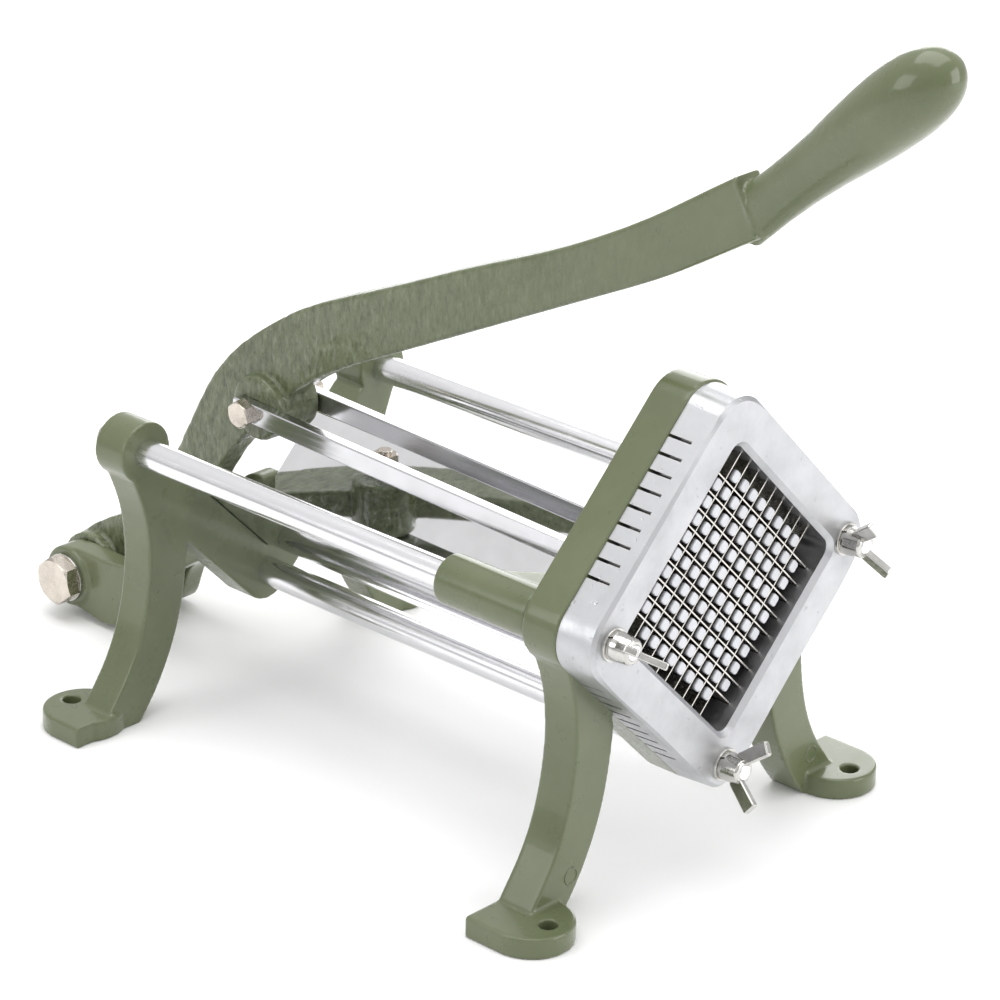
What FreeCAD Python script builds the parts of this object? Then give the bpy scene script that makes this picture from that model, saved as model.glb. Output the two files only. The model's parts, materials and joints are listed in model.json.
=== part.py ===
"""Lever-operated vegetable dicer: one STEP file per piece, all in one frame.

+X is the push direction, +Y the operator's left, +Z up.  The origin lies on the
table, at the centre of the four foot bolt holes.  Millimetres throughout.
"""

import math
import os

import FreeCAD
import Part

V = FreeCAD.Vector

# ---- driving dimensions --------------------------------------------------
AXIS_Z = 148.5             # height of the two side rods and of the blade centre
ROD_Y = 84.8               # side rods, either side of the centre plane
ROD_DROP = 91.4            # bottom rod, below the side rods
ROD_R = 7.5
STUD_R = 4.0               # turned-down front end of each rod
ROD_TAP_R = 4.2            # tapped rear end of each rod
ROD_TAP_DEPTH = 22.0

FRONT_BACK_X = 133.0       # flat rear face of the front frame
FRONT_T = 21.0
REAR_FACE_X = -137.0       # flat front face of the rear frame
REAR_T = 20.0

BOLT_X = 165.5             # foot holes
BOLT_Y = 112.5
FOOT_HOLE_R = 4.6
FOOT_T = 10.7
FOOT_R = 21.2              # round end of each foot pad
FOOT_CENTRE = (155.6, 113.3)

FRAME_HALF = 77.2          # front plate, half the side of the tilted square
FRAME_DROP = 0.9           # centre of that square below the rods
FRAME_OPEN_HALF = 53.0
HOLDER_HALF = 75.6
HOLDER_DROP = 2.0
HOLDER_DRAFT = 1.0         # the rear of the holder is this much wider on each side
HOLDER_OPEN_HALF = 53.6
HOLDER_OPEN_DROP = 1.2
HOLDER_T = 21.0
STUD_END_X = 188.3

PITCH = 9.525              # spacing of the blades
BLADES = 9
BLADE_T = 0.7
BLADE_DEPTH = 9.0
BLADE_FRONT_X = 167.2      # front edge of both layers
BLADE_LAP_X = 162.7        # the layers are halved into each other at this depth
GRID_DROP = 0.4            # centre of the blades and pins below the side rods
SLOT_W = 1.6
BLADE_HALF_LENGTH = 71.5

EAR_R = 16.0
V_INNER = 77.0             # |y| + drop along the inner edge of the rear yoke
V_OUTER = 114.0

TROUGH_T = 1.5
TROUGH_OUTER = 76.9        # |y| + drop along the outside of the liner
TROUGH_TOP_Y = 54.0
TROUGH_REAR_X = -156.3
TROUGH_FRONT_X = 135.7

PIVOT = (-262.0, 22.5)     # lever pivot in x, z
LEVER_PIN = (-131.0, 154.5)
PUSHER_PIN = (100.0, 146.1)
PIVOT_R = 7.0
LINK_PIN_R = 4.0
LEVER_HALF_T = 8.0
HUB_HALF_W = 15.0
HUB_R = 20.0
BOSS_R = 17.3
LUG_IN_Y = 15.6
LUG_OUT_Y = 29.0
LUG_BOSS_Y = 30.5
LUG_R = 17.0

LINK_IN_Y = 15.2
LINK_T = 6.4
LINK_H = 10.6
LINK_END = 6.5
LINK_REAR_END = 10.0
PIVOT_WASHER_T = 2.0

SLEEVE_R = 12.7
SLEEVE_BORE_R = 7.56
SLEEVE_X = (73.5, 131.5)
CARRIAGE_X = (118.0, 130.0)
CARRIAGE_HALF = 47.0
RIB_BACK_X = 86.0          # lug behind the carriage plate that the pusher pin drops into
RIB_HALF_W = 14.6
RIB_Z = (126.0, 158.5)
BLOCK_X = (130.0, 142.0)
BLOCK_HALF = 50.0
PIN_TIP_X = 168.6          # the pins pass between the blades at the end of the stroke
PIN_HALF = 2.8             # pins are square with rounded corners
PIN_CORNER_R = 1.6
PIN_ROWS = 10

# leg outline seen along the rods: distance from the centre plane, drop below the rods
LEG_OUTER = [(99.6, -4.0), (93.4, 13.5), (86.8, 31.0), (83.4, 50.0), (83.3, 67.0), (86.0, 86.0),
             (91.6, 105.0), (100.2, 121.5), (109.5, 134.5), (118.5, 148.5)]
LEG_INNER = [(57.0, 58.5), (58.6, 74.0), (62.2, 93.5), (68.8, 113.0), (77.5, 130.0), (91.0, 148.5)]

# lever outline in x, z: the upper and lower edge of the bar from the hub to the grip
LEVER_UPPER = [(-277.0, 35.8), (-255.0, 52.0), (-231.0, 66.0), (-207.0, 95.0), (-186.5, 132.0),
               (-168.5, 162.5), (-150.0, 182.5), (-133.0, 196.0), (-108.0, 212.5), (-72.0, 229.8),
               (-38.0, 244.8), (-2.0, 261.4), (30.0, 275.3), (62.0, 289.3), (95.0, 306.0),
               (122.0, 321.4), (148.0, 338.2), (171.0, 353.0)]
LEVER_LOWER = [(-247.0, 9.3), (-228.0, 22.0), (-208.0, 45.0), (-188.0, 74.0), (-170.5, 101.0),
               (-163.7, 111.8), (-150.0, 128.8), (-137.0, 143.0), (-119.0, 160.0), (-98.0, 176.5),
               (-70.1, 193.0), (-35.6, 210.5), (30.6, 243.5), (93.3, 274.8), (134.0, 295.8),
               (156.0, 309.0), (184.5, 326.5)]

# grip sections: distance along the grip, half height, half thickness
GRIP_DIR = (0.743, 0.669)
GRIP_OFFSET = 131.0
GRIP_SECTIONS = [(348.0, 13.3, 7.7), (362.0, 13.0, 8.4), (378.0, 12.8, 9.8), (396.0, 13.4, 11.8),
                 (416.0, 15.0, 14.2), (438.0, 17.2, 16.8), (458.0, 18.3, 18.1), (473.0, 17.7, 17.7),
                 (485.0, 14.8, 14.8), (492.5, 10.0, 10.0), (496.0, 5.0, 5.0)]
GRIP_TIP = 497.2

# lug outline in x, z, from the pivot round to the back of the rear frame
LUG_UPPER = [(-262.0, 39.5), (-240.0, 40.3), (-220.0, 41.8), (-206.0, 48.5), (-194.0, 62.0),
             (-184.0, 78.0), (-175.0, 91.5), (-168.0, 97.8), (-162.0, 99.6), (-156.5, 98.5)]
LUG_LOWER = [(-262.0, 5.5), (-246.0, 4.2), (-231.5, 3.0), (-224.0, 6.0), (-219.0, 15.0),
             (-214.5, 26.5), (-203.0, 37.5), (-184.4, 47.3), (-169.5, 57.5), (-156.5, 66.0)]


# ---- helpers -------------------------------------------------------------
def at_y(side, y):
    """Distance y from the centre plane on side +1 or -1."""
    return side * y


def polygon_x(points, x0, x1):
    """Prism along X from corner points given as (y, z above the table)."""
    wire = Part.makePolygon([V(x0, y, z) for y, z in points + points[:1]])
    return Part.Face(wire).extrude(V(x1 - x0, 0, 0))


def rounded_polygon(points, radii, place):
    """Closed wire through 2-D points with a corner radius at each one."""
    count = len(points)
    starts, mids, ends = [], [], []
    for i in range(count):
        here = V(points[i][0], points[i][1], 0)
        before = V(points[i - 1][0], points[i - 1][1], 0)
        after = V(points[(i + 1) % count][0], points[(i + 1) % count][1], 0)
        to_before = (before - here).normalize()
        to_after = (after - here).normalize()
        half = to_before.getAngle(to_after) / 2.0
        reach = radii[i] / math.tan(half)
        bisector = (to_before + to_after).normalize()
        centre = here + bisector * (radii[i] / math.sin(half))
        starts.append(here + to_before * reach)
        ends.append(here + to_after * reach)
        mids.append(centre - bisector * radii[i])
    edges = []
    for i in range(count):
        nxt = (i + 1) % count
        if radii[i] > 0:
            edges.append(Part.Arc(place(starts[i]), place(mids[i]), place(ends[i])).toShape())
        if (ends[i] - starts[nxt]).Length > 1e-6:
            edges.append(Part.makeLine(place(ends[i]), place(starts[nxt])))
    return Part.Wire(edges)


def diamond_wire(half, radii, x, drop=0.0):
    """Square of side 2*half turned 45 degrees in the plane x; radii: left, bottom, right, top."""
    reach = half * math.sqrt(2.0)
    corners = [(-reach, 0), (0, -reach), (reach, 0), (0, reach)]
    return rounded_polygon(corners, radii, lambda p: V(x, p.x, AXIS_Z - drop + p.y))


def diamond(half, radii, x0, x1, drop=0.0):
    return Part.Face(diamond_wire(half, radii, x0, drop)).extrude(V(x1 - x0, 0, 0))


def cyl_x(y, z, r, x0, x1):
    return Part.makeCylinder(r, x1 - x0, V(x0, y, z), V(1, 0, 0))


def cyl_y(x, z, r, y0, y1):
    return Part.makeCylinder(r, y1 - y0, V(x, y0, z), V(0, 1, 0))


def cyl_z(x, y, r, z0, z1):
    return Part.makeCylinder(r, z1 - z0, V(x, y, z0), V(0, 0, 1))


def hexagon(centre, axis, flats, length, turn=0.0):
    """Hexagonal prism starting at centre and running along axis."""
    r = flats / math.sqrt(3.0)
    ref = V(0, 0, 1) if abs(axis.z) < 0.9 else V(1, 0, 0)
    side = axis.cross(ref)
    points = []
    for k in range(7):
        a = math.radians(60.0 * k + turn)
        points.append(centre + ref * (r * math.cos(a)) + side * (r * math.sin(a)))
    return Part.Face(Part.makePolygon(points)).extrude(axis * length)


def hex_head(centre, axis, flats, length, chamfer, turn=0.0):
    """Hexagon whose outer end is chamfered all round, like a bolt head or nut."""
    body = hexagon(centre, axis, flats, length, turn)
    r_end = flats / 2.0 - 0.2
    r_wide = r_end + chamfer * math.tan(math.radians(60.0))
    straight = length - chamfer
    barrel = Part.makeCylinder(r_wide, straight, centre, axis)
    cone = Part.makeCone(r_wide, r_end, chamfer, centre + axis * straight, axis)
    return body.common(barrel.fuse(cone))


def spline_edge(points, place):
    curve = Part.BSplineCurve()
    curve.interpolate([place(p) for p in points])
    return curve.toShape()


def round_edges(shape, radius, wanted):
    """Fillet the edges for which wanted(edge) holds."""
    edges = [e for e in shape.Edges if wanted(e)]
    return shape.makeFillet(radius, edges) if edges else shape


def cut_all(shape, tools):
    for tool in tools:
        shape = shape.cut(tool)
    return shape


def fuse_all(shapes):
    result = shapes[0]
    for other in shapes[1:]:
        result = result.fuse(other)
    return result.removeSplitter()


def export(name, shape):
    shape.exportStep(os.path.join("parts", name + ".step"))


def rod_places():
    """(name, y, z) of the three rods."""
    return [("right", -ROD_Y, AXIS_Z), ("left", ROD_Y, AXIS_Z), ("bottom", 0.0, AXIS_Z - ROD_DROP)]


# ---- frames --------------------------------------------------------------
def leg(side, x0, x1):
    """One arched leg as a slab between x0 and x1."""
    def place(p):
        return V(x0, at_y(side, p[0]), AXIS_Z - p[1])
    outer = spline_edge(LEG_OUTER, place)
    inner = spline_edge(LEG_INNER, place)
    ground = Part.makeLine(place(LEG_OUTER[-1]), place(LEG_INNER[-1]))
    hip = (70.0, 10.0)
    top = (84.0, -6.0)
    closing = [Part.makeLine(place(LEG_INNER[0]), place(hip)),
               Part.makeLine(place(hip), place(top)),
               Part.makeLine(place(top), place(LEG_OUTER[0]))]
    wire = Part.Wire(Part.__sortEdges__([outer, ground, inner] + closing))
    return Part.Face(wire).extrude(V(x1 - x0, 0, 0))


def foot(side, face_x, toward):
    """Foot pad: square against the flat face, half round at the bolt hole."""
    cx, cy = toward * FOOT_CENTRE[0], FOOT_CENTRE[1]
    block = Part.makeBox(abs(cx - face_x), 2 * FOOT_R, FOOT_T,
                         V(min(cx, face_x), at_y(side, cy) - FOOT_R, 0))
    pad = block.fuse(cyl_z(cx, at_y(side, cy), FOOT_R, 0, FOOT_T)).removeSplitter()
    return round_edges(pad, 1.2, lambda e: e.BoundBox.ZMin > FOOT_T - 0.01 and
                       abs(e.BoundBox.Center.x - face_x) > 0.5)


def foot_holes(face_sign):
    x = face_sign * BOLT_X
    return [cyl_z(x, at_y(s, BOLT_Y), FOOT_HOLE_R, -1, FOOT_T + 1) for s in (-1, 1)]


def front_frame():
    x0, x1 = FRONT_BACK_X, FRONT_BACK_X + FRONT_T
    plate = diamond(FRAME_HALF, (20, 11, 20, 22), x0, x1, FRAME_DROP)
    pieces = [plate]
    for s in (-1, 1):
        pieces.append(leg(s, x0, x1))
        pieces.append(foot(s, x0, 1))
    body = fuse_all(pieces)
    body = body.cut(diamond(FRAME_OPEN_HALF, (8, 8, 8, 8), x0 - 1, x1 + 1))
    for _, y, z in rod_places():
        body = body.cut(cyl_x(y, z, STUD_R + 0.1, x0 - 1, x1 + 1))
    seat = trough_section(TROUGH_OUTER + 0.6, TROUGH_T + 1.0, TROUGH_TOP_Y + 1.0, x0 - 1, x0 + 3.0)
    body = body.cut(seat)
    return cut_all(body, foot_holes(1))


def yoke_arm(side):
    """Sloping arm of the rear yoke from the side ear down to the bottom ear."""
    lean = V_OUTER - ROD_DROP
    points = [(0.0, V_INNER), (68.0, V_INNER - 68.0), (86.0, 0.0), (84.0, V_OUTER - 84.0),
              (lean / 2.0, V_OUTER - lean / 2.0), (0.0, ROD_DROP)]
    corners = [(at_y(side, y), AXIS_Z - d) for y, d in points]
    return polygon_x(corners, REAR_FACE_X - REAR_T, REAR_FACE_X)


def lug(side):
    """Swan-neck lug carrying the lever pivot, behind the rear yoke."""
    px, pz = PIVOT
    width = LUG_OUT_Y - LUG_IN_Y
    y0 = LUG_IN_Y if side > 0 else -LUG_OUT_Y

    def place(p):
        return V(p[0], y0, p[1])
    edges = [spline_edge(LUG_UPPER, place), spline_edge(LUG_LOWER, place),
             Part.makeLine(place(LUG_UPPER[-1]), place(LUG_LOWER[-1])),
             Part.makeLine(place(LUG_UPPER[0]), place(LUG_LOWER[0]))]
    slab = Part.Face(Part.Wire(Part.__sortEdges__(edges))).extrude(V(0, width, 0))
    end = cyl_y(px, pz, LUG_R, y0, y0 + width)
    b0 = LUG_IN_Y if side > 0 else -LUG_BOSS_Y
    boss = cyl_y(px, pz, LUG_R - 0.6, b0, b0 + LUG_BOSS_Y - LUG_IN_Y)
    return fuse_all([slab, end, boss])


def rear_frame():
    x0, x1 = REAR_FACE_X - REAR_T, REAR_FACE_X
    yoke = [yoke_arm(s) for s in (-1, 1)]
    for _, y, z in rod_places():
        yoke.append(cyl_x(y, z, EAR_R, x0 - 1.0, x1))
    reach = 66.0
    mouth = [(0.0, V_INNER), (reach, V_INNER - reach), (reach, -30.0),
             (-reach, -30.0), (-reach, V_INNER - reach)]
    mouth = polygon_x([(y, AXIS_Z - d) for y, d in mouth], x0 - 2, x1 + 1)
    pieces = [fuse_all(yoke).cut(mouth)]
    for s in (-1, 1):
        pieces += [leg(s, x0, x1), foot(s, x1, -1), lug(s)]
    body = fuse_all(pieces)
    for _, y, z in rod_places():
        body = body.cut(cyl_x(y, z, ROD_TAP_R + 0.3, x0 - 3, x1 + 1))
    body = body.cut(cyl_y(PIVOT[0], PIVOT[1], PIVOT_R + 0.08, -40, 40))
    return cut_all(body, foot_holes(-1))


# ---- rods and their fasteners --------------------------------------------
def guide_rod(y, z):
    """Polished rod, tapped at the rear, turned down to a stud at the front."""
    shaft = cyl_x(y, z, ROD_R, REAR_FACE_X, FRONT_BACK_X)
    stud = cyl_x(y, z, STUD_R, FRONT_BACK_X - 1.0, STUD_END_X)
    rod = shaft.fuse(stud)
    rod = round_edges(rod, 0.8, lambda e: e.BoundBox.XMin > STUD_END_X - 0.01)
    return rod.cut(cyl_x(y, z, ROD_TAP_R, REAR_FACE_X - 1, REAR_FACE_X + ROD_TAP_DEPTH))


def rear_bolt(y, z):
    """Hex bolt through the ear into the tapped end of a rod."""
    seat = REAR_FACE_X - REAR_T - 1.0
    head = hex_head(V(seat, y, z), V(-1, 0, 0), 17.0, 7.0, 1.2, 15.0)
    shank = cyl_x(y, z, ROD_TAP_R - 0.05, seat - 1.0, REAR_FACE_X + ROD_TAP_DEPTH - 3.0)
    return head.fuse(shank)


def ring_x(y, z, r_out, r_in, x0, x1):
    ring = cyl_x(y, z, r_out, x0, x1).cut(cyl_x(y, z, r_in, x0 - 1, x1 + 1))
    return round_edges(ring, 0.25, lambda e: e.Length > 2 * math.pi * r_out - 1.0)


def lock_washer(y, z, x0):
    """Split spring washer."""
    ring = ring_x(y, z, 7.2, STUD_R + 0.15, x0, x0 + 2.0)
    gap = Part.makeBox(6, 0.9, 12, V(x0 - 2, y - 0.45, z))
    gap.rotate(V(x0, y, z), V(1, 0, 0), 35.0)
    gap.rotate(V(x0 + 1, y, z + 5.0), V(0, 0, 1), 25.0)
    return ring.cut(gap)


def wing_nut(y, z, turn):
    """Cast wing nut on a stud, wings turned about the stud by turn degrees."""
    x0 = FRONT_BACK_X + FRONT_T + HOLDER_T + 3.6
    hub = Part.makeCone(7.3, 6.3, 9.2, V(x0, y, z), V(1, 0, 0))
    hub = round_edges(hub, 1.8, lambda e: e.BoundBox.XMin > x0 + 9.0)
    pieces = [hub]
    for s in (-1, 1):
        outline = [(2.0, 1.0), (7.6, 1.0), (9.4, 3.9), (20.6, 12.6), (16.4, 18.6), (3.6, 8.2)]
        radii = [0.4, 0.4, 2.5, 1.3, 1.3, 2.0]
        wire = rounded_polygon([(s * r, a) for a, r in outline], radii,
                               lambda p: V(x0 + p.y, y + p.x, z - 1.8))
        wing = Part.Face(wire).extrude(V(0, 0, 3.6))
        wing = wing.makeFillet(0.7, [e for e in wing.Edges if e.BoundBox.ZLength < 0.01
                                     and abs(e.BoundBox.Center.y - y) > 6.0])
        pieces.append(wing)
    nut = fuse_all(pieces).cut(cyl_x(y, z, STUD_R + 0.05, x0 - 1, x0 + 22))
    nut.rotate(V(x0, y, z), V(1, 0, 0), turn)
    return nut


# ---- blade holder and blades ---------------------------------------------
def along_u(u0, u1, v0, v1, x0, x1):
    """Box in the tilted frame: u runs down to the left of the machine, v up to the left."""
    r = math.sqrt(0.5)
    corners = []
    for u, v in ((u0, v0), (u1, v0), (u1, v1), (u0, v1)):
        corners.append((u * r + v * r, AXIS_Z - GRID_DROP - u * r + v * r))
    return polygon_x(corners, x0, x1)


def blade_offsets():
    return [(i - (BLADES - 1) / 2.0) * PITCH for i in range(BLADES)]


def blade_holder():
    x0 = FRONT_BACK_X + FRONT_T
    x1 = x0 + HOLDER_T
    radii = (20, 13, 20, 20)
    body = Part.makeLoft([diamond_wire(HOLDER_HALF + HOLDER_DRAFT, radii, x0, HOLDER_DROP),
                          diamond_wire(HOLDER_HALF, radii, x1, HOLDER_DROP)], True, True)
    body = body.makeChamfer(1.7, [e for e in body.Edges if e.BoundBox.XMin > x1 - 0.01])
    body = body.cut(diamond(HOLDER_OPEN_HALF, (6, 6, 6, 6), x0 - 1, x1 + 1, HOLDER_OPEN_DROP))
    reach = HOLDER_OPEN_HALF * 1.45
    inner_rim = [e for e in body.Edges if e.BoundBox.XMin > x1 - 0.01
                 and max(abs(e.BoundBox.YMax), abs(e.BoundBox.YMin)) < reach
                 and max(abs(e.BoundBox.ZMax - AXIS_Z), abs(e.BoundBox.ZMin - AXIS_Z)) < reach]
    body = body.makeChamfer(2.6, inner_rim)
    for k in range(4):
        pocket = along_u(-70.0, -57.5, -44.0, 44.0, x0 - 1, x0 + 13.0)
        pocket.rotate(V(x0, 0, AXIS_Z - GRID_DROP), V(1, 0, 0), 90.0 * k)
        body = body.cut(pocket)
    w = SLOT_W / 2.0
    slot_end = BLADE_FRONT_X + 0.2
    for c in blade_offsets():
        body = body.cut(along_u(-90, 90, c - w, c + w, x0 - 1, slot_end))
        body = body.cut(along_u(c - w, c + w, -90, 90, x0 - 1, slot_end))
    for _, y, z in rod_places():
        body = body.cut(cyl_x(y, z, STUD_R + 0.1, x0 - 1, x1 + 1))
    return body


def blade_rows(first_layer):
    """Nine parallel strips, half-slotted where the other layer crosses."""
    rows = []
    reach = BLADE_HALF_LENGTH
    front_x = BLADE_FRONT_X
    back_x = front_x - BLADE_DEPTH
    h = BLADE_T / 2.0
    s = h + 0.12
    for c in blade_offsets():
        if first_layer:
            strip = along_u(-reach, reach, c - h, c + h, back_x, front_x)
        else:
            strip = along_u(c - h, c + h, -reach, reach, back_x, front_x)
        for d in blade_offsets():
            if first_layer:
                notch = along_u(d - s, d + s, c - 2, c + 2, back_x - 1, BLADE_LAP_X - 0.2)
            else:
                notch = along_u(c - 2, c + 2, d - s, d + s, BLADE_LAP_X + 0.2, front_x + 1)
            strip = strip.cut(notch)
        rows.append(strip)
    return Part.makeCompound(rows)


# ---- liner trough --------------------------------------------------------
def trough_section(outer, thick, top_y, x0, x1):
    """V-shaped sheet: outer = |y| + drop on the outside, wings up to top_y."""
    inner = outer - thick * math.sqrt(2.0)
    points = [(-top_y, outer - top_y), (0.0, outer), (top_y, outer - top_y),
              (top_y - thick * 0.7071, inner - top_y + thick * 0.7071), (0.0, inner),
              (-top_y + thick * 0.7071, inner - top_y + thick * 0.7071)]
    wire = rounded_polygon(points, (0.3, 3.0, 0.3, 0.3, 1.6, 0.3), lambda p: V(x0, p.x, AXIS_Z - p.y))
    return Part.Face(wire).extrude(V(x1 - x0, 0, 0))


# ---- pusher --------------------------------------------------------------
def pusher_carriage():
    s0, s1 = SLEEVE_X
    c0, c1 = CARRIAGE_X
    plate = diamond(CARRIAGE_HALF, (10, 10, 10, 10), c0, c1)
    plate = round_edges(plate, 1.5, lambda e: e.BoundBox.XMax < c0 + 0.01)
    pieces = [plate]
    for s in (-1, 1):
        sleeve = cyl_x(at_y(s, ROD_Y), AXIS_Z, SLEEVE_R, s0, s1)
        pieces.append(round_edges(sleeve, 1.0, lambda e: e.BoundBox.XLength < 0.01))
        web = [(50.0, c0 - 1.0), (62.0, 112.0), (70.0, 103.0), (76.0, 92.0), (80.0, 86.0),
               (80.0, c1), (50.0, c1)]
        wire = rounded_polygon([(at_y(s, y), x) for y, x in web],
                               (0.5, 4.0, 8.0, 6.0, 0.5, 0.5, 0.5),
                               lambda p: V(p.y, p.x, AXIS_Z - 8.5))
        pieces.append(Part.Face(wire).extrude(V(0, 0, 17.0)))
    rib = Part.makeBox(c0 - RIB_BACK_X + 1.0, 2 * RIB_HALF_W, RIB_Z[1] - RIB_Z[0],
                       V(RIB_BACK_X, -RIB_HALF_W, RIB_Z[0]))
    rib = round_edges(rib, 5.0, lambda e: e.BoundBox.XMax < RIB_BACK_X + 0.01
                      and e.BoundBox.YLength > 20)
    pieces.append(rib)
    body = fuse_all(pieces)
    px, pz = PUSHER_PIN
    top = RIB_Z[1] + 1.0
    saddle = [(px - 4.35, pz), (px - 3.4, top), (px + 13.1, top), (px + 3.77, pz - 2.17)]
    wire = Part.makePolygon([V(x, -RIB_HALF_W - 1, z) for x, z in saddle + saddle[:1]])
    body = body.cut(Part.Face(wire).extrude(V(0, 2 * RIB_HALF_W + 2, 0)))
    body = body.cut(cyl_y(px, pz, 4.35, -RIB_HALF_W - 1, RIB_HALF_W + 1))
    for s in (-1, 1):
        body = body.cut(cyl_x(at_y(s, ROD_Y), AXIS_Z, SLEEVE_BORE_R, s0 - 1, s1 + 1))
    for y, z in screw_places():
        body = body.cut(cyl_x(y, z, 3.1, c0 - 1, c1 + 1))
    return body


def screw_places():
    return [(0.0, AXIS_Z + 42.0), (42.0, AXIS_Z), (0.0, AXIS_Z - 42.0), (-42.0, AXIS_Z)]


def pusher_block():
    b0, b1 = BLOCK_X
    body = diamond(BLOCK_HALF, (6, 6, 6, 6), b0, b1)
    body = round_edges(body, 0.8, lambda e: e.BoundBox.XMin > b1 - 0.01)
    r = math.sqrt(0.5)
    pin = diamond(PIN_HALF, [PIN_CORNER_R] * 4, b1 - 1.0, PIN_TIP_X, GRID_DROP)
    pin = round_edges(pin, 0.6, lambda e: e.BoundBox.XMin > PIN_TIP_X - 0.01)
    pins = []
    for i in range(PIN_ROWS):
        for j in range(PIN_ROWS):
            if i in (0, PIN_ROWS - 1) and j in (0, PIN_ROWS - 1):
                continue
            u = (i - (PIN_ROWS - 1) / 2.0) * PITCH
            v = (j - (PIN_ROWS - 1) / 2.0) * PITCH
            pins.append(pin.translated(V(0, (u + v) * r, (v - u) * r)))
    body = body.multiFuse(pins)
    for y, z in screw_places():
        body = body.cut(cyl_x(y, z, 2.4, b0 - 1, b0 + 9.0))
    return body


def pusher_screw(y, z):
    """Hex screw from the back of the carriage into the pin block."""
    seat = CARRIAGE_X[0]
    head = hex_head(V(seat, y, z), V(-1, 0, 0), 10.0, 4.0, 0.8, 0.0)
    shank = cyl_x(y, z, 2.35, seat - 1.0, BLOCK_X[0] + 8.0)
    return head.fuse(shank)


# ---- links and lever -----------------------------------------------------
def link(side):
    """Flat bar with squared, slightly rounded ends, from the lever boss to the pusher."""
    dx = PUSHER_PIN[0] - LEVER_PIN[0]
    dz = PUSHER_PIN[1] - LEVER_PIN[1]
    length = math.hypot(dx, dz)
    y0 = LINK_IN_Y if side > 0 else -LINK_IN_Y - LINK_T
    h = LINK_H / 2.0
    corners = [(-LINK_REAR_END, -h), (length + LINK_END, -h),
               (length + LINK_END, h), (-LINK_REAR_END, h)]
    ux, uz = dx / length, dz / length

    def place(p):
        return V(LEVER_PIN[0] + p.x * ux - p.y * uz, y0, LEVER_PIN[1] + p.x * uz + p.y * ux)
    wire = rounded_polygon(corners, (1.5, 4.5, 4.5, 1.5), place)
    bar = Part.Face(wire).extrude(V(0, LINK_T, 0))
    bar = bar.makeFillet(0.8, [e for e in bar.Edges if e.BoundBox.YLength < 0.01])
    for x, z in (LEVER_PIN, PUSHER_PIN):
        bar = bar.cut(cyl_y(x, z, LINK_PIN_R + 0.08, y0 - 1, y0 + LINK_T + 1))
    return bar


def pin_washers(x, z, r, r_out, seat, thick):
    """Two plain washers on a cross bolt, one on each side, starting at |y| = seat."""
    rings = []
    for y0 in (-seat - thick, seat):
        ring = cyl_y(x, z, r_out, y0, y0 + thick).cut(cyl_y(x, z, r + 0.1, y0 - 1, y0 + thick + 1))
        rings.append(round_edges(ring, 0.2, lambda e: e.Length > 2 * math.pi * r_out - 1.0))
    return rings


def pin_bolt(x, z, r, seat, head_flats, head_h, end, turn):
    """Hex bolt lying along +Y with its head against y = -seat."""
    head = hex_head(V(x, -seat, z), V(0, -1, 0), head_flats, head_h, 0.055 * head_flats, turn)
    shank = cyl_y(x, z, r, -seat - 1.0, end)
    shank = round_edges(shank, 0.7, lambda e: e.BoundBox.YMin > end - 0.01)
    return head.fuse(shank)


def pin_nut(x, z, r, seat, flats, height, turn):
    nut = hex_head(V(x, seat, z), V(0, 1, 0), flats, height, 1.0, turn)
    return nut.cut(cyl_y(x, z, r + 0.02, seat - 1, seat + height + 1))


def lever():
    def place(p):
        return V(p[0], -LEVER_HALF_T, p[1])
    edges = [spline_edge(LEVER_UPPER, place), spline_edge(LEVER_LOWER, place),
             Part.makeLine(place(LEVER_UPPER[0]), place(LEVER_LOWER[0])),
             Part.makeLine(place(LEVER_UPPER[-1]), place(LEVER_LOWER[-1]))]
    bar = Part.Face(Part.Wire(Part.__sortEdges__(edges))).extrude(V(0, 2 * LEVER_HALF_T, 0))
    bar = bar.makeFillet(1.6, [e for e in bar.Edges if e.BoundBox.YLength < 0.01 and e.Length > 120])
    hub = cyl_y(PIVOT[0], PIVOT[1], HUB_R, -HUB_HALF_W, HUB_HALF_W)
    hub = round_edges(hub, 1.5, lambda e: e.BoundBox.YLength < 0.01)
    boss = cyl_y(LEVER_PIN[0], LEVER_PIN[1], BOSS_R, -LINK_IN_Y + 0.2, LINK_IN_Y - 0.2)
    boss = round_edges(boss, 2.4, lambda e: e.BoundBox.YLength < 0.01)
    body = fuse_all([bar, hub, boss, grip()])
    body = body.cut(cyl_y(PIVOT[0], PIVOT[1], PIVOT_R + 0.08, -20, 20))
    return body.cut(cyl_y(LEVER_PIN[0], LEVER_PIN[1], LINK_PIN_R + 0.06, -20, 20))


def grip():
    """Teardrop grip: oval next to the bar, round at the thick end."""
    ax, az = GRIP_DIR
    up = V(-az, 0, ax)

    def centre(along):
        return V(along * ax, 0, along * az) + up * GRIP_OFFSET
    sections = []
    for along, half_h, half_t in GRIP_SECTIONS:
        ring = Part.BSplineCurve()
        points = []
        for k in range(16):
            a = 2.0 * math.pi * k / 16
            points.append(centre(along) + up * (half_h * math.cos(a)) + V(0, half_t * math.sin(a), 0))
        ring.interpolate(Points=points, PeriodicFlag=True)
        sections.append(Part.Wire([ring.toShape()]))
    sections.append(Part.Vertex(centre(GRIP_TIP)))
    return Part.makeLoft(sections, True, False)


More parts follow.
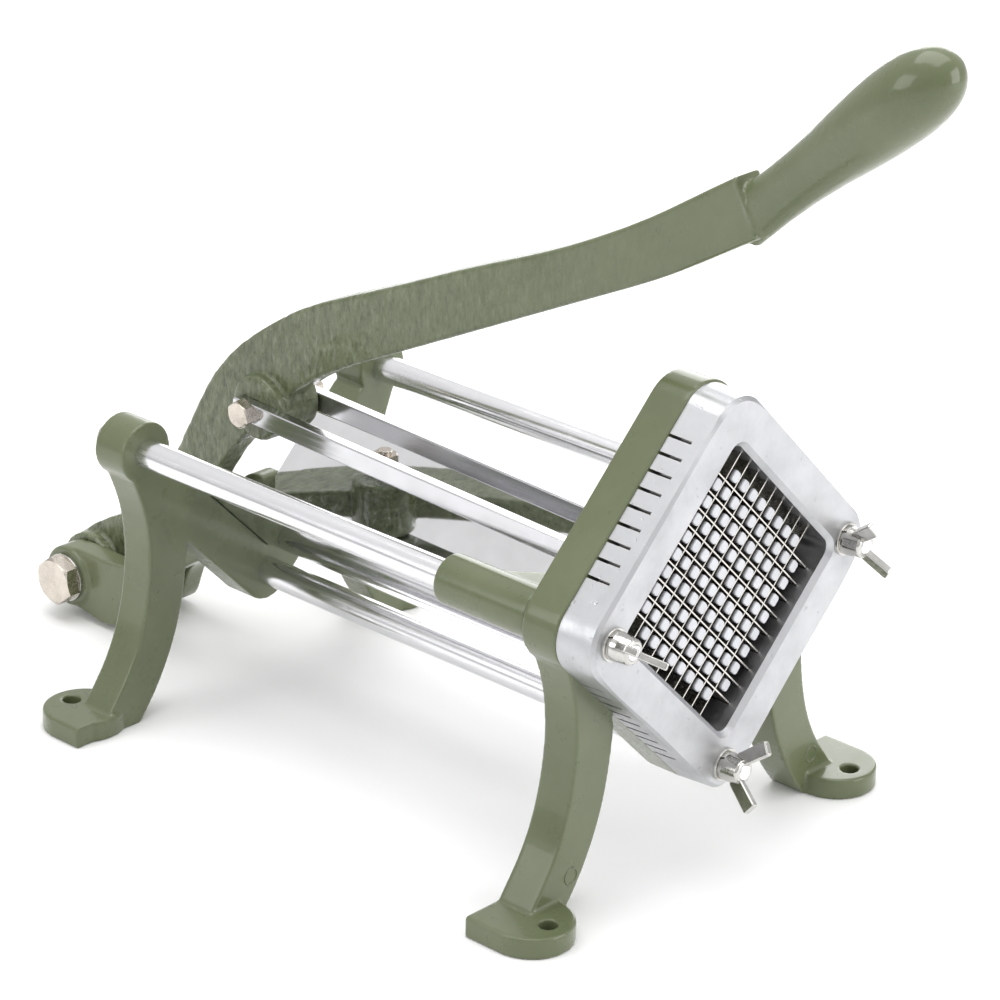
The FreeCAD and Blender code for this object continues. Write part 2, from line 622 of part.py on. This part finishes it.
def main():
    os.makedirs("parts", exist_ok=True)
    export("front_frame", front_frame())
    export("rear_frame", rear_frame())
    for name, y, z in rod_places():
        export("guide_rod_" + name, guide_rod(y, z))
    export("rear_rod_bolts", Part.makeCompound([rear_bolt(y, z) for _, y, z in rod_places()]))
    export("blade_holder", blade_holder())
    export("blades_first_layer", blade_rows(True))
    export("blades_cross_layer", blade_rows(False))
    export("liner_trough", trough_section(TROUGH_OUTER, TROUGH_T, TROUGH_TOP_Y,
                                          TROUGH_REAR_X, TROUGH_FRONT_X))
    face = FRONT_BACK_X + FRONT_T + HOLDER_T
    flat = [ring_x(y, z, 8.4, STUD_R + 0.15, face, face + 1.6) for _, y, z in rod_places()]
    export("holder_flat_washers", Part.makeCompound(flat))
    lock = [lock_washer(y, z, face + 1.6) for _, y, z in rod_places()]
    export("holder_lock_washers", Part.makeCompound(lock))
    turns = {"right": 147.0, "left": 117.0, "bottom": 70.0}
    for name, y, z in rod_places():
        export("wing_nut_" + name, wing_nut(y, z, turns[name]))
    export("pusher_carriage", pusher_carriage())
    export("pusher_pin_block", pusher_block())
    export("pusher_screws", Part.makeCompound([pusher_screw(y, z) for y, z in screw_places()]))
    export("link_right", link(-1))
    export("link_left", link(1))
    seat = LINK_IN_Y + LINK_T
    export("lever_link_bolt", pin_bolt(*LEVER_PIN, LINK_PIN_R, seat, 13.0, 6.2, seat + 9.0, 10.0))
    export("lever_link_nut", pin_nut(*LEVER_PIN, LINK_PIN_R, seat, 13.0, 6.8, 0.0))
    export("pusher_link_bolt", pin_bolt(*PUSHER_PIN, LINK_PIN_R, seat, 13.0, 6.2, seat + 9.0, 0.0))
    export("pusher_link_nut", pin_nut(*PUSHER_PIN, LINK_PIN_R, seat, 13.0, 6.8, 20.0))
    export("lever", lever())
    seat = LUG_BOSS_Y + PIVOT_WASHER_T
    washers = pin_washers(*PIVOT, PIVOT_R, 13.4, LUG_BOSS_Y, PIVOT_WASHER_T)
    export("pivot_washers", Part.makeCompound(washers))
    export("pivot_bolt", pin_bolt(*PIVOT, PIVOT_R, seat, 24.0, 8.0, seat + 14.0, 10.0))
    export("pivot_nut", pin_nut(*PIVOT, PIVOT_R, seat, 22.0, 11.0, 0.0))


main()
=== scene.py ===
import json
import math

import bpy
import numpy as np
from mathutils import Matrix, Vector, noise


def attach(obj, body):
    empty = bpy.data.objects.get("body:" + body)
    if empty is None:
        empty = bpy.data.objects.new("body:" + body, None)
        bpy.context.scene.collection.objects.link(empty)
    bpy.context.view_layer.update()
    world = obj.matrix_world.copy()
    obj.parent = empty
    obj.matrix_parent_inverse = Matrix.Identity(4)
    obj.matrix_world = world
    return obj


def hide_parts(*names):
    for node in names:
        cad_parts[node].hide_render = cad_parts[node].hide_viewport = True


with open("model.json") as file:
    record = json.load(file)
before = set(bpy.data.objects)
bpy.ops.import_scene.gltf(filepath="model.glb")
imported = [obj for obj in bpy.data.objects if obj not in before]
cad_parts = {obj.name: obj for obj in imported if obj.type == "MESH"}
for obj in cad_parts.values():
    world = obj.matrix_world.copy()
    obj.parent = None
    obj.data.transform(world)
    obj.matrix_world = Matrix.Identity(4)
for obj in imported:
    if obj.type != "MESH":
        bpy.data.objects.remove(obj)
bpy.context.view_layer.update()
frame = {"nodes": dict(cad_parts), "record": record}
nodes = frame["nodes"]

MM = 0.001

# The camera, at the viewing angle asked for.
VIEW_YAW = math.radians(42.284)
VIEW_PITCH = math.radians(23.373)
VIEW_ROLL = math.radians(1.446)
CAMERA_PLACE = Vector((1.2464, -1.3416, 0.9318))
LENS_MM = 144.9


# ---- materials -----------------------------------------------------------
class Surface:
    """A procedural material: a Principled shader and short calls that add nodes to it."""

    def __init__(self, name, **sockets):
        self.material = bpy.data.materials.new(name)
        self.material.use_nodes = True
        self.tree = self.material.node_tree
        self.shader = self.tree.nodes["Principled BSDF"]
        for socket, value in sockets.items():
            self.shader.inputs[socket.replace("_", " ")].default_value = value
        self.place = self.node("ShaderNodeTexCoord").outputs["Object"]

    def node(self, kind, **values):
        made = self.tree.nodes.new(kind)
        for key, value in values.items():
            setattr(made, key, value)
        return made

    def link(self, output, socket):
        self.tree.links.new(output, socket)

    def to_shader(self, output, socket):
        self.link(output, self.shader.inputs[socket])

    def stretched(self, scale):
        """Object coordinates scaled by (x, y, z), for streaks and brushing."""
        mapping = self.node("ShaderNodeMapping")
        mapping.inputs["Scale"].default_value = scale
        self.link(self.place, mapping.inputs["Vector"])
        return mapping.outputs["Vector"]

    def noise(self, scale, detail=3.0, roughness=0.5, at=None, distortion=0.0):
        made = self.node("ShaderNodeTexNoise")
        made.inputs["Scale"].default_value = scale
        made.inputs["Detail"].default_value = detail
        made.inputs["Roughness"].default_value = roughness
        made.inputs["Distortion"].default_value = distortion
        self.link(at or self.place, made.inputs["Vector"])
        return made.outputs["Fac"]

    def spread(self, value, low, high, to_low=0.0, to_high=1.0):
        made = self.node("ShaderNodeMapRange")
        limits = {"From Min": low, "From Max": high, "To Min": to_low, "To Max": to_high}
        for socket, number in limits.items():
            made.inputs[socket].default_value = number
        self.link(value, made.inputs["Value"])
        return made.outputs["Result"]

    def math(self, operation, a, b):
        made = self.node("ShaderNodeMath", operation=operation)
        for socket, value in zip(made.inputs, (a, b)):
            if isinstance(value, (int, float)):
                socket.default_value = value
            else:
                self.link(value, socket)
        return made.outputs["Value"]

    def blend(self, share, first, second):
        made = self.node("ShaderNodeMix", data_type="RGBA")
        self.link(share, made.inputs["Factor"])
        for socket, value in ((made.inputs[6], first), (made.inputs[7], second)):
            if isinstance(value, tuple):
                socket.default_value = (*value, 1.0)
            else:
                self.link(value, socket)
        return made.outputs[2]

    def bump(self, height, depth, normal=None):
        """Surface relief of the given depth in metres."""
        made = self.node("ShaderNodeBump")
        made.inputs["Strength"].default_value = 1.0
        made.inputs["Distance"].default_value = depth
        self.link(height, made.inputs["Height"])
        if normal is not None:
            self.link(normal, made.inputs["Normal"])
        return made.outputs["Normal"]

    def point(self):
        return self.node("ShaderNodeNewGeometry").outputs["Pointiness"]


# The lever's cast grain grows from the grip side towards the neck between these places, and so do the
# painted shade in its grooves and the painted highlights on its ridges.
SMOOTH_FROM_X = 0.14
ROUGH_FROM_X = -0.12


def enamel(name, coat_rough, peel, grain, cast_grain):
    """Glossy sage-green enamel on a casting; the last three are relief depths in metres. Creases are
    painted darker as painted shade and sharp edges lighter as a painted highlight; with cast_grain
    its grooves also get painted shade and its ridges painted highlights.
    """
    s = Surface(name, Coat_Weight=0.6, Coat_Roughness=coat_rough, Coat_IOR=1.5,
                Specular_IOR_Level=0.25)
    cloud = s.spread(s.noise(22.0, 4.0), 0.35, 0.65)
    colour = s.blend(cloud, (0.108, 0.128, 0.063), (0.128, 0.148, 0.078))
    mottle = s.spread(s.noise(150.0, 5.0, 0.6), 0.45, 0.72)
    colour = s.blend(s.math("MULTIPLY", mottle, 0.12), colour, (0.080, 0.098, 0.048))
    # Painted shade: creases are painted darker, where shade falls.
    crease_shade = s.spread(s.point(), 0.47, 0.38)
    colour = s.blend(s.math("MULTIPLY", crease_shade, 0.6), colour, (0.034, 0.048, 0.018))
    # Painted highlight: sharp edges are painted lighter, where light catches them.
    edge_highlight = s.spread(s.point(), 0.54, 0.64)
    colour = s.blend(s.math("MULTIPLY", edge_highlight, 0.30), colour, (0.25, 0.28, 0.19))
    relief = s.bump(s.noise(520.0, 3.0, 0.55), grain)
    relief = s.bump(s.noise(95.0, 2.0, 0.5), peel, relief)
    if cast_grain:
        split = s.node("ShaderNodeSeparateXYZ")
        s.link(s.place, split.inputs["Vector"])
        rough_end = s.spread(split.outputs["X"], SMOOTH_FROM_X, ROUGH_FROM_X, 0.05, 1.0)
        strokes = s.noise(1.0, 5.0, 0.65, s.stretched((420.0, 300.0, 170.0)))
        relief = s.bump(s.math("MULTIPLY", strokes, rough_end), cast_grain, relief)
        # Painted shade in the grain's grooves and painted highlights on its ridges.
        groove_shade = s.math("MULTIPLY", s.spread(strokes, 0.50, 0.34, 0.0, 0.75), rough_end)
        colour = s.blend(groove_shade, colour, (0.040, 0.054, 0.022))
        ridge_highlight = s.math("MULTIPLY", s.spread(strokes, 0.54, 0.68, 0.0, 0.45), rough_end)
        colour = s.blend(ridge_highlight, colour, (0.27, 0.30, 0.21))
    s.to_shader(colour, "Base Color")
    s.to_shader(s.spread(s.noise(90.0, 4.0), 0.3, 0.7, 0.24, 0.40), "Roughness")
    s.to_shader(relief, "Normal")
    return s.material


def polished(name, tint, streak_scale, rough, depth):
    """Plated or polished steel with fine lines along the streak's long way."""
    s = Surface(name, Metallic=1.0, Specular_IOR_Level=0.6, Anisotropic=0.35)
    streak = s.noise(1.0, 4.0, 0.6, s.stretched(streak_scale))
    cloud = s.noise(45.0, 3.0)
    colour = s.blend(s.spread(cloud, 0.3, 0.7), tint, tuple(0.9 * c for c in tint))
    s.to_shader(colour, "Base Color")
    dull = s.math("MULTIPLY", streak, cloud)
    s.to_shader(s.spread(dull, 0.12, 0.4, rough * 0.7, rough * 1.6), "Roughness")
    s.to_shader(s.bump(streak, depth), "Normal")
    return s.material


def cast_aluminium(name, tint, rough, metal=1.0, painted_rear_shade=None):
    """Tumbled aluminium with clouding, pits and scratches.

    With a (from, to) pair as the last argument it is painted darker towards the rear, as shares of
    the piece's length along X: painted shade on the pins' sides and between them.
    """
    s = Surface(name, Metallic=metal, Specular_IOR_Level=0.5)
    cloud = s.spread(s.noise(38.0, 5.0, 0.6), 0.32, 0.7)
    colour = s.blend(cloud, tint, tuple(0.84 * c for c in tint))
    pits = s.spread(s.noise(260.0, 2.0, 0.4), 0.70, 0.78)
    colour = s.blend(s.math("MULTIPLY", pits, 0.45), colour, (0.32, 0.32, 0.33))
    # Painted shade: the colour turns nearly black towards the rear, where shade falls between the
    # pins.
    if painted_rear_shade:
        split = s.node("ShaderNodeSeparateXYZ")
        s.link(s.node("ShaderNodeTexCoord").outputs["Generated"], split.inputs["Vector"])
        colour = s.blend(s.spread(split.outputs["X"], *painted_rear_shade), colour, (0.05, 0.05, 0.052))
    s.to_shader(colour, "Base Color")
    scratch = s.noise(1.0, 6.0, 0.7, s.stretched((900.0, 60.0, 160.0)))
    dull = s.math("MULTIPLY", scratch, cloud)
    s.to_shader(s.spread(dull, 0.0, 0.6, rough * 0.75, rough * 1.5), "Roughness")
    relief = s.bump(scratch, 0.00002)
    relief = s.bump(s.noise(120.0, 3.0), 0.00010, relief)
    relief = s.bump(s.math("MULTIPLY", pits, -1.0), 0.00012, relief)
    s.to_shader(relief, "Normal")
    return s.material


def plated(name, tint, rough):
    """Zinc or nickel plate on a fastener, with painted shade in its creases."""
    s = Surface(name, Metallic=1.0, Specular_IOR_Level=0.5)
    cloud = s.spread(s.noise(160.0, 4.0), 0.3, 0.7)
    colour = s.blend(cloud, tint, tuple(0.78 * c for c in tint))
    # Painted shade: creases are painted darker, where shade falls.
    crease_shade = s.spread(s.point(), 0.49, 0.43)
    colour = s.blend(s.math("MULTIPLY", crease_shade, 0.6), colour, tuple(0.3 * c for c in tint))
    s.to_shader(colour, "Base Color")
    s.to_shader(s.spread(s.noise(400.0, 3.0), 0.3, 0.7, rough * 0.8, rough * 1.4), "Roughness")
    s.to_shader(s.bump(s.noise(700.0, 3.0), 0.00004), "Normal")
    return s.material


# Streaks run along X on the rods, links and sheet, and have no direction on the blades.
MATERIALS = {
    "frame_enamel": enamel("frame_enamel", 0.13, 0.00005, 0.00001, 0.0),
    "lever_enamel": enamel("lever_enamel", 0.09, 0.00008, 0.00002, 0.0010),
    "polished_rod": polished(
        "polished_rod", (0.86, 0.86, 0.88), (12.0, 1500.0, 1500.0), 0.18, 0.000003),
    "polished_link": polished(
        "polished_link", (0.66, 0.66, 0.68), (15.0, 900.0, 900.0), 0.12, 0.000004),
    "polished_sheet": polished(
        "polished_sheet", (0.80, 0.80, 0.81), (10.0, 1100.0, 1100.0), 0.035, 0.0000015),
    "holder_aluminium": cast_aluminium("holder_aluminium", (0.57, 0.575, 0.59), 0.38),
    # The pin block is painted darker behind the pin tips: painted shade between the pins.
    "pin_block_aluminium": cast_aluminium(
        "pin_block_aluminium", (0.62, 0.63, 0.66), 0.42, metal=0.0, painted_rear_shade=(0.985, 0.95)),
    "blade_steel": polished(
        "blade_steel", (0.76, 0.73, 0.68), (500.0, 500.0, 500.0), 0.22, 0.000010),
    "zinc_fastener": plated("zinc_fastener", (0.66, 0.65, 0.62), 0.16),
    "nickel_bolt": plated("nickel_bolt", (0.66, 0.60, 0.53), 0.22),
}


def dress(obj, slot):
    obj.data.materials.clear()
    obj.data.materials.append(MATERIALS[slot])


NODE_SLOTS = {row["node"]: row["material_slot"] for row in frame["record"]["subparts"]}
for name, slot in NODE_SLOTS.items():
    dress(nodes[name], slot)


# ---- cast pieces ---------------------------------------------------------
def evaluated_copy(obj, name):
    """A new object whose mesh is obj's with its modifiers applied."""
    graph = bpy.context.evaluated_depsgraph_get()
    mesh = bpy.data.meshes.new_from_object(obj.evaluated_get(graph))
    mesh.name = name
    made = bpy.data.objects.new(name, mesh)
    bpy.context.scene.collection.objects.link(made)
    return made


def remeshed(node, name, voxel, passes, faces):
    """A closed, evenly meshed copy of a CAD node with softened edges and about that many faces."""
    start = nodes[node]
    work = bpy.data.objects.new(name + "_work", start.data.copy())
    bpy.context.scene.collection.objects.link(work)
    grid = work.modifiers.new("grid", "REMESH")
    grid.mode = "VOXEL"
    grid.voxel_size = voxel
    soften = work.modifiers.new("soften", "SMOOTH")
    soften.factor = 0.5
    soften.iterations = passes
    fine = evaluated_copy(work, name + "_fine")
    thin = fine.modifiers.new("thin", "DECIMATE")
    thin.ratio = min(1.0, faces / (2.0 * len(fine.data.polygons)))
    made = evaluated_copy(fine, name)
    bpy.data.objects.remove(fine)
    bpy.data.objects.remove(work)
    made.data.polygons.foreach_set("use_smooth", [True] * len(made.data.polygons))
    return made


def roughen(obj, depth_at):
    """Moves each vertex along its normal by depth_at(place)."""
    mesh = obj.data
    count = len(mesh.vertices)
    places = np.empty(count * 3)
    normals = np.empty(count * 3)
    mesh.vertices.foreach_get("co", places)
    mesh.vertex_normals.foreach_get("vector", normals)
    places = places.reshape(-1, 3)
    normals = normals.reshape(-1, 3)
    depth = np.array([depth_at(Vector(p), n) for p, n in zip(places, normals)])
    mesh.vertices.foreach_set("co", (places + normals * depth[:, None]).ravel())
    mesh.update()


def cast_piece(node, body, voxel, passes, faces, depth_at=None):
    """Replaces a CAD node with its softened casting, roughened by depth_at if that is given."""
    piece = remeshed(node, node + "_casting", voxel, passes, faces)
    if depth_at:
        roughen(piece, depth_at)
    dress(piece, NODE_SLOTS[node])
    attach(piece, body)
    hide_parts(node)


# The raised line on both sides of the lever where the grip begins: a place and its direction.
GRIP_LINE_START = Vector((0.1718, 0.0, 0.3502))
GRIP_LINE_ALONG = Vector((0.502, 0.0, -0.865))
GRIP_LINE_HEIGHT = 0.0007
GRIP_LINE_WIDTH = 0.0013

STROKE_DEPTH = 0.00020
LUMP_DEPTH = 0.00016
PIT_DEPTH = 0.0007


def lever_relief(place, normal):
    """Foundry grain, coarse at the neck and faint at the grip, and the line where the grip begins."""
    strokes = noise.noise(Vector((place.x * 330.0, place.y * 200.0, place.z * 150.0)))
    lumps = noise.noise(place * 120.0)
    pits = min(noise.noise(place * 260.0 + Vector((7.0, 0.0, 0.0))) + 0.25, 0.0)
    neck = min(max((0.12 - place.x) / 0.30, 0.08), 1.0)
    depth = (strokes * STROKE_DEPTH + lumps * LUMP_DEPTH + pits * PIT_DEPTH) * neck
    offset = Vector((place.x, 0.0, place.z)) - GRIP_LINE_START
    across = (offset - GRIP_LINE_ALONG * offset.dot(GRIP_LINE_ALONG)).length
    on_side_face = abs(normal[1]) > 0.5
    if on_side_face and place.x < 0.20:
        depth += GRIP_LINE_HEIGHT * math.exp(-(across / GRIP_LINE_WIDTH) ** 2)
    return depth


cast_piece("lever", "lever", 0.9 * MM, 3, 180000, lever_relief)
cast_piece("front_frame", "base", 0.75 * MM, 8, 120000)
cast_piece("rear_frame", "base", 0.75 * MM, 8, 120000)
cast_piece("pusher_carriage", "pusher", 0.8 * MM, 6, 80000)


def raised_ring(name, centre, radius, wall):
    """A low cast ring on a face that looks along +X, sunk half its thickness into the face."""
    around, across = 40, 10
    points, faces = [], []
    for i in range(around):
        a = math.tau * i / around
        for k in range(across):
            b = math.tau * k / across
            r = radius + wall * math.cos(b)
            points.append(centre + Vector((wall * math.sin(b), r * math.cos(a), r * math.sin(a))))
    for i in range(around):
        here = i * across
        beyond = (i + 1) % around * across
        for k in range(across):
            after = (k + 1) % across
            faces.append((here + k, here + after, beyond + after, beyond + k))
    mesh = bpy.data.meshes.new(name)
    mesh.from_pydata([tuple(p) for p in points], [], faces)
    mesh.polygons.foreach_set("use_smooth", [True] * len(faces))
    ring = bpy.data.objects.new(name, mesh)
    bpy.context.scene.collection.objects.link(ring)
    dress(ring, "frame_enamel")
    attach(ring, "base")


# Cast marks low on the front face of the two front legs.
for name, y in (("leg_mark_right", -0.0844), ("leg_mark_left", 0.0951)):
    raised_ring(name, Vector((0.15385, y, 0.0208)), radius=0.0042, wall=0.0006)


# ---- stage ---------------------------------------------------------------
FLOOR_HALF = 6.0
FLOOR_GAP = 0.0002         # keeps the floor clear of the feet
AIM = (0, 0, 0.15)         # middle of the machine, where the side lights point

# name, place, aim, size, power
SOFTBOXES = [
    ("overhead", (0.0, 0.0, 1.6), (0, 0, 0.1), (1.6, 1.2), 16.0),
    ("key", (1.9, 0.7, 0.7), AIM, (1.2, 1.2), 15.0),
    ("side", (-0.6, -1.6, 0.9), AIM, (1.0, 0.8), 6.0),
    ("back", (-1.135, 1.942, 0.9), AIM, (1.5, 1.5), 18.0),
]


def add_floor():
    mesh = bpy.data.meshes.new("studio_floor")
    half = FLOOR_HALF
    corners = [(-half, -half, 0), (half, -half, 0), (half, half, 0), (-half, half, 0)]
    mesh.from_pydata(corners, [], [(0, 1, 2, 3)])
    floor = bpy.data.objects.new("studio_floor", mesh)
    bpy.context.scene.collection.objects.link(floor)
    floor.location.z = -FLOOR_GAP
    s = Surface("studio_floor", Base_Color=(0.93, 0.93, 0.93, 1.0), Roughness=0.85)
    floor.data.materials.append(s.material)


def add_softbox(name, place, aim, size, power):
    data = bpy.data.lights.new(name, "AREA")
    data.shape = "RECTANGLE"
    data.size, data.size_y = size
    data.energy = power
    lamp = bpy.data.objects.new(name, data)
    bpy.context.scene.collection.objects.link(lamp)
    lamp.location = place
    lamp.rotation_euler = (Vector(aim) - Vector(place)).to_track_quat("-Z", "Y").to_euler()


def add_world():
    """Soft white surroundings, a little darker towards the horizon."""
    world = bpy.data.worlds.new("studio")
    bpy.context.scene.world = world
    world.use_nodes = True
    tree = world.node_tree
    background = tree.nodes["Background"]
    place = tree.nodes.new("ShaderNodeTexCoord")
    split = tree.nodes.new("ShaderNodeSeparateXYZ")
    tree.links.new(place.outputs["Generated"], split.inputs["Vector"])
    ramp = tree.nodes.new("ShaderNodeValToRGB")
    tree.links.new(split.outputs["Z"], ramp.inputs["Fac"])
    stops = ramp.color_ramp.elements
    stops[0].position = 0.0
    stops[0].color = (0.60, 0.60, 0.61, 1)
    stops[1].position = 0.75
    stops[1].color = (1.0, 1.0, 1.0, 1)
    tree.links.new(ramp.outputs["Color"], background.inputs["Color"])
    background.inputs["Strength"].default_value = 0.93


def add_camera():
    data = bpy.data.cameras.new("view")
    data.sensor_width = 36.0
    data.lens = LENS_MM
    data.clip_end = 50.0
    camera = bpy.data.objects.new("view", data)
    bpy.context.scene.collection.objects.link(camera)
    turn = (Matrix.Rotation(VIEW_YAW, 4, "Z")
            @ Matrix.Rotation(math.pi / 2 - VIEW_PITCH, 4, "X")
            @ Matrix.Rotation(VIEW_ROLL, 4, "Z"))
    camera.matrix_world = Matrix.Translation(CAMERA_PLACE) @ turn
    bpy.context.scene.camera = camera


add_floor()
add_world()
for softbox in SOFTBOXES:
    add_softbox(*softbox)
add_camera()
bpy.context.scene.view_settings.view_transform = "Standard"
